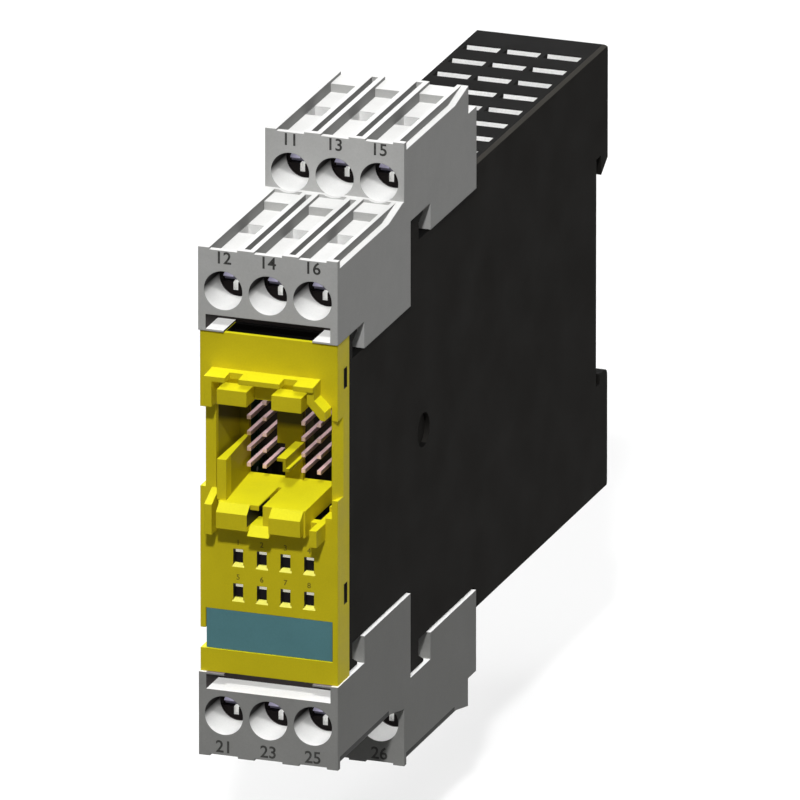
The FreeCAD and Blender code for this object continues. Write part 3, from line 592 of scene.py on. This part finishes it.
class MODULE_OT_housing(bpy.types.Operator):
    """Give the housing its matt black moulding with painted shade on its upper faces, painted highlights on
    its bevels and painted light on its vent walls
    """
    bl_idname = "module.housing"
    bl_label = "Housing"

    def execute(self, context):
        finishes_and_painted_light = context.scene.module_finishes
        black = finishes_and_painted_light.housing
        material, tree, shader, place, tone = moulded_plastic(
            "housing_matt_black", black, roughness=0.85, specular=0.06, contrast=0.12)
        x, y, z = axes_of(tree, place)
        height = size_of(tree, z)
        face = face_direction(tree)
        # Painted shade on the upper faces, a painted highlight on the bevels and painted light on the vent
        # walls
        tone = retone(tree, above(tree, face[2], LEVEL), tone, black, shade(black, HOUSING_TOP_SHADE))
        bevel_highlight = all_of(tree, between(tree, face[2], (SLOPED, LEVEL)), above(tree, height, BEVEL_HEIGHT),
                       above(tree, size_of(tree, face[0]), SLOPED))
        tone = retone(tree, bevel_highlight, tone, black, shade(black, HOUSING_BEVEL_HIGHLIGHT))
        vent = all_of(tree, below(tree, face[1], -SLOPED), between(tree, height, VENT_HEIGHTS),
                      between(tree, x, VENT_XS), between(tree, y, VENT_YS))
        tone = retone(tree, vent, tone, black, finishes_and_painted_light.vent)
        tree.links.new(tone, shader.inputs["Base Color"])
        dress(material, "housing")
        return {"FINISHED"}


class MODULE_OT_front_cover(bpy.types.Operator):
    """Give the front cover its yellow moulding with painted highlights on its upper faces, sills and right
    flank, and painted shade in its receptacle and openings
    """
    bl_idname = "module.front_cover"
    bl_label = "Front cover"

    def execute(self, context):
        finishes_and_painted_light = context.scene.module_finishes
        yellow, lit_lemon = finishes_and_painted_light.cover, finishes_and_painted_light.lit_cover_top
        material, tree, shader, place, tone = moulded_plastic(
            "cover_yellow", yellow, roughness=0.55, specular=0.15)
        x, y, z = axes_of(tree, place)
        face = face_direction(tree)
        upward = above(tree, face[2], HALF_TURNED)
        sideways = looks_sideways(tree, face)
        across = math_node(tree, "PINGPONG", minus(tree, x, LAMP_XS[0]), LAMP_PITCH / 2)

        # Painted highlights on the upper faces, the sills under the windows and the outer right face; painted
        # shade in the receptacle and a painted shadow under its hood
        tone = retone(tree, upward, tone, yellow, lit_lemon)
        sill_gap = nearest(tree, z, [row - SILL_DROP for row in LAMP_ROWS])
        sills = all_of(tree, upward, below(tree, across, SILL_HALF[0]), below(tree, sill_gap, SILL_HALF[1]),
                       between(tree, y, SILL_YS))
        tone = retone(tree, sills, tone, lit_lemon, finishes_and_painted_light.sill_highlight)
        outer = all_of(tree, sideways, above(tree, x, COVER_SIDE))
        tone = retone(tree, outer, tone, yellow, shade(yellow, COVER_FLANK_LIGHT))
        shaded_pocket = all_of(tree, below(tree, face[2], HALF_TURNED), between(tree, x, POCKET_XS),
                        between(tree, y, POCKET_YS), between(tree, z, POCKET_ZS))
        tone = retone(tree, shaded_pocket, tone, yellow, shade(yellow, POCKET_SHADE))
        hood_shadow = ramp(tree, math_node(tree, "MULTIPLY_ADD", y, HOOD_SLOPE, z), HOOD_SHADE)
        tone = retone(tree, all_of(tree, shaded_pocket, hood_shadow), tone, yellow, shade(yellow, HOOD_SHADOW_TONE))

        # Painted shade in the openings: windows, mouth of the shelf, notches and snap windows
        row_gap = nearest(tree, z, LAMP_ROWS)
        windows = all_of(tree, below(tree, across, WINDOW_HALF[0]), below(tree, row_gap, WINDOW_HALF[1]),
                         between(tree, y, WINDOW_YS))
        within = any_of(tree, sideways, above(tree, y, MOUTH_LIP))
        mouth = all_of(tree, within, between(tree, x, MOUTH_XS), between(tree, z, MOUTH_ZS),
                       below(tree, y, MOUTH_REAR))
        notches = all_of(tree, between(tree, x, NOTCH_XS), between(tree, y, NOTCH_YS),
                         above(tree, size_of(tree, z), NOTCH_HEIGHT))
        snap_gap = nearest(tree, z, SNAP_MIDDLES)
        snaps = all_of(tree, below(tree, size_of(tree, face[0]), HALF_TURNED), between(tree, y, SNAP_YS),
                       above(tree, size_of(tree, x), COVER_SIDE), below(tree, snap_gap, SNAP_HALF_HEIGHT))
        # These openings are painted near black as shade
        dark = any_of(tree, windows, mouth, notches, snaps)
        tone = retone(tree, dark, tone, yellow, finishes_and_painted_light.insulation_and_shade)
        tree.links.new(tone, shader.inputs["Base Color"])
        dress(material, "front_cover")
        return {"FINISHED"}


class MODULE_OT_label_plate(bpy.types.Operator):
    """Give the label plate its teal finish"""
    bl_idname = "module.label_plate"
    bl_label = "Label plate"

    def execute(self, context):
        teal = context.scene.module_finishes.label
        dress(moulded_plastic("label_teal", teal, roughness=0.5, specular=0.15)[0], "label_plate")
        return {"FINISHED"}


class MODULE_OT_terminal_blocks(bpy.types.Operator):
    """Give both terminal blocks their grey moulding with painted light and shade, the lower one in a darker
    grey as painted shade
    """
    bl_idname = "module.terminal_blocks"
    bl_label = "Terminal blocks"

    def execute(self, context):
        finishes_and_painted_light = context.scene.module_finishes
        # The upper block's upper faces get their own painted light; the lower block, painted darker as shade,
        # gets the bore walls' painted light on its upper faces
        dress(self.block_grey("upper_block_grey", finishes_and_painted_light, finishes_and_painted_light.block, finishes_and_painted_light.top, 1),
              "upper_terminal_block")
        dress(self.block_grey("lower_block_grey", finishes_and_painted_light, finishes_and_painted_light.lower_block, finishes_and_painted_light.bore, -1),
              "lower_terminal_block")
        return {"FINISHED"}

    def block_grey(self, name, finishes_and_painted_light, grey, top, sign):
        """Grey moulding with painted light on the upper faces, bore walls, ledges and wire entries, and
        painted shade on the groove walls, slot, bore roofs, seats and lower rim.
        """
        material, tree, shader, place, plain = moulded_plastic(name, grey, roughness=0.6, specular=0.10)
        x, y, z = axes_of(tree, place)
        height = size_of(tree, z)
        face = face_direction(tree)
        upward = above(tree, face[2], HALF_TURNED)
        sideways = looks_sideways(tree, face)
        across = math_node(tree, "PINGPONG", x, POLE_PITCH / 2)
        inner = between(tree, x, POLE_XS)
        outside = above(tree, sideways, inner)
        lit = shade(finishes_and_painted_light.bore, LIT_WALL)
        lit_bore_tone = retone(tree, 1.0, plain, grey, finishes_and_painted_light.bore)
        lit_entry_tone = retone(tree, 1.0, plain, grey, lit)

        # Painted light on the upper faces and painted shade on the groove walls
        tone = retone(tree, upward, plain, grey, top)
        tone = retone(tree, all_of(tree, inner, sideways), tone, grey, shade(grey, GROOVE_SHADE))
        # Lever slot: painted light on its ledges and painted shade on its walls
        slot = all_of(tree, between(tree, x, SLOT_XS), between(tree, height, SLOT_HEIGHTS),
                      between(tree, y, SLOT_YS))
        ledge = all_of(tree, upward, above(tree, height, SLOT_LEDGES[sign]))
        tone = retone(tree, all_of(tree, slot, ledge), tone, top, lit)
        tone = retone(tree, above(tree, slot, ledge), tone, grey, shade(finishes_and_painted_light.insulation_and_shade, SLOT_SHADE))
        for tier in TIERS.values():
            depth = minus(tree, y, tier["face"])
            square = axis_square(tree, across, minus(tree, height, tier["axis"]))
            bore = all_of(tree, inner, below(tree, square, (BORE_RADIUS + BORE_MARGIN) ** 2))
            # Bore walls: painted shade towards the roof and painted light below it
            roof_shade = ramp(tree, minus(tree, z, sign * tier["axis"]), BORE_ROOF_SHADE)
            wall = all_of(tree, bore, between(tree, depth, BORE_DEPTHS))
            lit_and_shaded_wall_tone = retone(tree, roof_shade, lit_bore_tone, finishes_and_painted_light.bore, finishes_and_painted_light.insulation_and_shade)
            tone = blend_colours(tree, wall, tone, lit_and_shaded_wall_tone)
            # Painted shade on the seat behind the screw head
            shaded_seat = all_of(tree, bore, between(tree, depth, SEAT_DEPTHS))
            tone = retone(tree, shaded_seat, tone, grey, finishes_and_painted_light.insulation_and_shade)
            # Painted light on the walls of the wire entries
            entry = all_of(tree, inner, between(tree, depth, ENTRY_DEPTHS),
                           below(tree, across, ENTRY_HALF_WIDTH),
                           below(tree, height, tier["edge"] - ENTRY_DROP))
            tone = blend_colours(tree, entry, tone, lit_entry_tone)
            if sign < 0:
                # Painted shade along the lower block's outer rim
                rim_shade = all_of(tree, outside, between(tree, depth, RIM_DEPTHS),
                             above(tree, height, tier["edge"] - RIM_DROP))
                tone = retone(tree, rim_shade, tone, grey, shade(grey, SHADED_RIM))
        tree.links.new(tone, shader.inputs["Base Color"])
        return material


class MODULE_OT_clamps(bpy.types.Operator):
    """Give the clamp screws, the cages and the rail spring their plated finishes, the screws with painted
    shade and a painted glint
    """
    bl_idname = "module.clamps"
    bl_label = "Clamps and spring"

    def execute(self, context):
        finishes_and_painted_light = context.scene.module_finishes
        dress(self.screw_plating_and_painted_light(finishes_and_painted_light), *named("clamp_screw_"))
        dress(plated_metal("cage_zinc", finishes_and_painted_light.clamp, roughness=0.38), *named("clamp_cage_"))
        dress(plated_metal("spring_steel_drawn", finishes_and_painted_light.clamp, roughness=0.30), "rail_spring")
        return {"FINISHED"}

    def screw_plating_and_painted_light(self, finishes_and_painted_light):
        """Lilac plating with painted shade on the rim, on the lower half and in the recess, and a painted
        glint on the lower arm of the cross.
        """
        lilac = finishes_and_painted_light.screw
        material, tree, shader, place = start_material("screw_plating_and_painted_light")
        x, y, z = axes_of(tree, place)
        height = size_of(tree, z)
        front, rear = TIERS["front"], TIERS["rear"]
        behind = above(tree, height, (front["axis"] + rear["axis"]) / 2)
        axis = math_node(tree, "MULTIPLY_ADD", behind, rear["axis"] - front["axis"], front["axis"])
        head = math_node(tree, "MULTIPLY_ADD", behind, rear["face"] - front["face"],
                         front["face"] + HEAD_DEPTH)
        across = math_node(tree, "PINGPONG", x, POLE_PITCH / 2)
        rise = minus(tree, height, axis)
        climb = math_node(tree, "MULTIPLY", rise, math_node(tree, "SIGN", z))
        # Painted shade on the rim, in the recess and on the half below the axis; a painted glint on the lower
        # arm of the cross
        rim_shade = above(tree, axis_square(tree, across, rise), HEAD_RIM ** 2)
        shaded_lower_half = below(tree, climb, -SHADE_DROP)
        recess = above(tree, minus(tree, y, head), RECESS_DEPTH)
        arm_glint = all_of(tree, recess, below(tree, across, RECESS_HALF_WIDTH), shaded_lower_half)
        stain = spread(tree, noise(tree, place, 0.0012, 3.0))
        tone = blend_colours(tree, stain, shade(lilac, 0.85), shade(lilac, 1.1))
        tone = blend_colours(tree, recess, tone, shade(lilac, SCREW_RECESS_SHADE))
        tone = blend_colours(tree, any_of(tree, rim_shade, shaded_lower_half), tone, shade(finishes_and_painted_light.insulation_and_shade))
        tone = blend_colours(tree, arm_glint, tone, shade(finishes_and_painted_light.bore, SCREW_ARM_GLINT))
        tree.links.new(tone, shader.inputs["Base Color"])
        tree.links.new(spread(tree, noise(tree, place, 0.0003), 0.30, 0.42), shader.inputs["Roughness"])
        shader.inputs["Metallic"].default_value = 1.0
        return material


class MODULE_OT_contacts(bpy.types.Operator):
    """Give the pins, with painted shade on their flanks, the contact bars and their insulating bodies their
    finishes
    """
    bl_idname = "module.contacts"
    bl_label = "Contacts"

    def execute(self, context):
        finishes_and_painted_light = context.scene.module_finishes
        # Painted shade on the pins' flanks
        dress(plated_metal("pin_rose_gold", finishes_and_painted_light.pin, roughness=0.50, metallic=0.4, flank_shade=PIN_FLANK_SHADE),
              *named("interface_pins_"))
        dress(plated_metal("contact_tin", finishes_and_painted_light.contact, roughness=0.36),
              *named("", "_contact_bars", "front_pins", "rear_pins"))
        black = finishes_and_painted_light.insulation_and_shade
        dress(moulded_plastic("header_black", black, roughness=0.6, specular=0.25, contrast=0.15)[0],
              *named("interface_header_"), *named("", "_pin_strip"))
        return {"FINISHED"}


class MODULE_OT_boards(bpy.types.Operator):
    """Give the circuit boards and the parts on them their finishes, the front board painted near black as
    shade behind the pins
    """
    bl_idname = "module.boards"
    bl_label = "Boards"

    def execute(self, context):
        finishes_and_painted_light = context.scene.module_finishes
        black, white = finishes_and_painted_light.insulation_and_shade, finishes_and_painted_light.lamp
        dress(circuit_board("board_resist", finishes_and_painted_light.board, (0.55, 0.53, 0.48)), "main_board")
        # The front board is painted near black, with dark pads, as shade behind the interface pins
        dress(circuit_board("board_painted_shade", black, (0.03, 0.03, 0.03)), "front_board")
        dress(moulded_plastic("chip_epoxy", black, roughness=0.55, specular=0.3, contrast=0.2)[0],
              "logic_chips", "power_converter", "board_link")
        dress(moulded_plastic("coupler_white", white, roughness=0.5, specular=0.3)[0], "input_couplers")
        dress(plated_metal("capacitor_can_drawn", finishes_and_painted_light.clamp, roughness=0.28), "capacitors")
        return {"FINISHED"}


class MODULE_OT_indicators(bpy.types.Operator):
    """Give the light guide, with a painted highlight that glows faintly at the top of its rods, and the
    indicator chips their finishes
    """
    bl_idname = "module.indicators"
    bl_label = "Indicators"

    def execute(self, context):
        finishes_and_painted_light = context.scene.module_finishes
        material, tree, shader, place, tone = moulded_plastic(
            "guide_smoked", finishes_and_painted_light.guide, roughness=0.5, specular=0.05, contrast=0.2)
        y, z = axes_of(tree, place)[1:]
        # Painted highlight on a band at the top of each rod, made to glow faintly
        highlight_bands = [between(tree, z, [row + rise for rise in HIGHLIGHT_RISES]) for row in LAMP_ROWS]
        lit = all_of(tree, any_of(tree, *highlight_bands), below(tree, y, HIGHLIGHT_REAR))
        tone = blend_colours(tree, lit, tone, shade(finishes_and_painted_light.lamp, ROD_HIGHLIGHT))
        tree.links.new(tone, shader.inputs["Base Color"])
        shader.inputs["Emission Color"].default_value = shade(finishes_and_painted_light.lamp, ROD_HIGHLIGHT_GLOW)
        tree.links.new(math_node(tree, "MULTIPLY", lit, HIGHLIGHT_GLOW_STRENGTH), shader.inputs["Emission Strength"])
        dress(material, "light_guide")
        dress(moulded_plastic("lamp_pale", finishes_and_painted_light.lamp, roughness=0.3, specular=0.5)[0], "status_leds")
        return {"FINISHED"}


class MODULE_OT_terminal_numbers(bpy.types.Operator):
    """Print a plain number beside each screw bore"""
    bl_idname = "module.terminal_numbers"
    bl_label = "Terminal numbers"

    def execute(self, context):
        sizes = context.scene.module_print
        ink = printed_ink("terminal_ink", context.scene.module_finishes.ink)
        for side, sign in (("upper", 1), ("lower", -1)):
            numbers = []
            for tier, texts in BLOCK_NUMBERS[side].items():
                z = sign * (TIERS[tier]["edge"] - sizes.terminal_inset)
                for n, text in enumerate(texts):
                    numbers.append(print_number(text, sizes.terminal_height, POLE_PITCH * (n - 1),
                                                TIERS[tier]["face"], z, sizes.thickness))
            join_numbers(numbers, side + "_terminal_numbers", ink, side + "_block")
        return {"FINISHED"}


class MODULE_OT_indicator_numbers(bpy.types.Operator):
    """Print a small plain number above each indicator window"""
    bl_idname = "module.indicator_numbers"
    bl_label = "Indicator numbers"

    def execute(self, context):
        sizes = context.scene.module_print
        ink = printed_ink("indicator_ink", context.scene.module_finishes.lamp_ink)
        numbers = []
        for row in LAMP_ROWS:
            for x in LAMP_XS:
                numbers.append(print_number(str(len(numbers) + 1), sizes.lamp_height, x, PLATE_FACE,
                                            row + LAMP_NUMBER_RISE, sizes.thickness))
        join_numbers(numbers, "indicator_numbers", ink, "module")
        return {"FINISHED"}


class MODULE_OT_stage(bpy.types.Operator):
    """Set the floor, the lights, the room and the camera"""
    bl_idname = "module.stage"
    bl_label = "Stage"

    def execute(self, context):
        stage = context.scene.module_stage
        context.scene.view_settings.view_transform = "Standard"
        self.add_floor(stage)
        self.add_light("key_light", stage.key, *KEY_LIGHT)
        self.add_light("overhead_light", stage.overhead, *OVERHEAD_LIGHT)
        self.add_light("ceiling_light", stage.ceiling, *CEILING_LIGHT).use_shadow = False
        self.add_light("fill_light", stage.fill, *FILL_LIGHT)
        self.add_room(context, stage)
        self.add_camera(context, stage)
        return {"FINISHED"}

    def seen_rays(self, tree):
        """One for rays that show the background: from the camera, off gloss and through clear parts."""
        path = add_node(tree, "ShaderNodeLightPath").outputs
        return any_of(tree, path["Is Camera Ray"], path["Is Glossy Ray"], path["Is Transmission Ray"])

    def add_room(self, context, stage):
        """Even light from all round, white where it shows."""
        world = bpy.data.worlds.new("studio_room")
        world.use_nodes = True
        tree = world.node_tree
        inputs = {"Value": self.seen_rays(tree), "To Min": stage.room, "To Max": 1.0}
        strength = add_node(tree, "ShaderNodeMapRange", inputs).outputs[0]
        background = tree.nodes["Background"]
        background.inputs["Color"].default_value = (1, 1, 1, 1)
        tree.links.new(strength, background.inputs["Strength"])
        context.scene.world = world

    def add_floor(self, stage):
        """Pale floor under the module: white to the camera, dim for the light that it sends back."""
        bpy.ops.object.select_all(action="DESELECT")
        bpy.ops.mesh.primitive_plane_add(size=FLOOR_SIZE, location=(0, 0, CAD_BOX[0].z - stage.floor_gap))
        floor = bpy.context.object
        floor.name = "studio_floor"
        material, tree, shader, place = start_material("floor_white")
        seen = self.seen_rays(tree)
        pale = [shade((1, 1, 1), tone) for tone in FLOOR_TONES]
        faint = blend_colours(tree, noise(tree, place, 0.5), *pale)
        colour = blend_colours(tree, seen, shade((1, 1, 1), FLOOR_DIM), faint)
        tree.links.new(colour, shader.inputs["Base Color"])
        shader.inputs["Roughness"].default_value = 0.9
        shader.inputs["Specular IOR Level"].default_value = 0.0
        tree.links.new(math_node(tree, "MULTIPLY", seen, FLOOR_GLOW), shader.inputs["Emission Strength"])
        shader.inputs["Emission Color"].default_value = (1, 1, 1, 1)
        floor.data.materials.append(material)

    def add_light(self, name, strength, towards, width):
        """Soft sun lamp that shines from the given direction; gives its settings."""
        bpy.ops.object.select_all(action="DESELECT")
        bpy.ops.object.light_add(type="SUN", location=Vector(towards))
        lamp = bpy.context.object
        lamp.name = name
        lamp.rotation_euler = Vector(towards).to_track_quat("Z", "Y").to_euler()
        lamp.data.energy = strength
        lamp.data.angle = math.radians(width)
        return lamp.data

    def add_camera(self, context, stage):
        """Long-lens camera at the right of the front, looking down a little."""
        a, e = stage.azimuth, stage.elevation
        right = Vector((math.cos(a), math.sin(a), 0))
        up = Vector((-math.sin(a) * math.sin(e), math.cos(a) * math.sin(e), math.cos(e)))
        back = right.cross(up)
        shift = right * FRAME_SHIFT[0] + up * FRAME_SHIFT[1] - back * FRAME_SHIFT[2]
        aim = Vector(FRAME_CORNER) * MM + shift * MM
        bpy.ops.object.select_all(action="DESELECT")
        bpy.ops.object.camera_add(location=aim + back * (stage.lens * stage.frame_width / SENSOR_WIDTH))
        camera = bpy.context.object
        camera.name = "front_right_camera"
        camera.rotation_euler = back.to_track_quat("Z", "Y").to_euler()
        camera.data.lens = stage.lens
        camera.data.sensor_width = SENSOR_WIDTH
        camera.data.clip_end = 50.0
        context.scene.camera = camera


class MODULE_PT_sidebar(bpy.types.Panel):
    """Sidebar panel that lists the module's finishes, sizes and steps"""
    bl_label = "Safety input module"
    bl_idname = "MODULE_PT_sidebar"
    bl_space_type = "VIEW_3D"
    bl_region_type = "UI"
    bl_category = "Module"

    def draw(self, context):
        scene = context.scene
        for title, group in (("Finishes", scene.module_finishes), ("Print", scene.module_print),
                             ("Stage", scene.module_stage)):
            area = self.layout.box()
            area.label(text=title)
            for name in group.__annotations__:
                area.prop(group, name)
        for step in STEPS:
            self.layout.operator(step.bl_idname)


GROUPS = {"module_finishes": ModuleFinishesAndPaintedLight, "module_print": ModulePrint, "module_stage": ModuleStage}
STEPS = (
    MODULE_OT_housing, MODULE_OT_front_cover, MODULE_OT_label_plate, MODULE_OT_terminal_blocks,
    MODULE_OT_clamps, MODULE_OT_contacts, MODULE_OT_boards, MODULE_OT_indicators,
    MODULE_OT_terminal_numbers, MODULE_OT_indicator_numbers, MODULE_OT_stage,
)


def register():
    for group in GROUPS.values():
        bpy.utils.register_class(group)
    for name, group in GROUPS.items():
        setattr(bpy.types.Scene, name, PointerProperty(type=group))
    for step in STEPS:
        bpy.utils.register_class(step)
    bpy.utils.register_class(MODULE_PT_sidebar)


def unregister():
    bpy.utils.unregister_class(MODULE_PT_sidebar)
    for step in reversed(STEPS):
        bpy.utils.unregister_class(step)
    for name, group in GROUPS.items():
        delattr(bpy.types.Scene, name)
        bpy.utils.unregister_class(group)


def main():
    register()
    for step in STEPS:
        area, name = step.bl_idname.split(".")
        getattr(getattr(bpy.ops, area), name)()


if __name__ == "__main__":
    main()
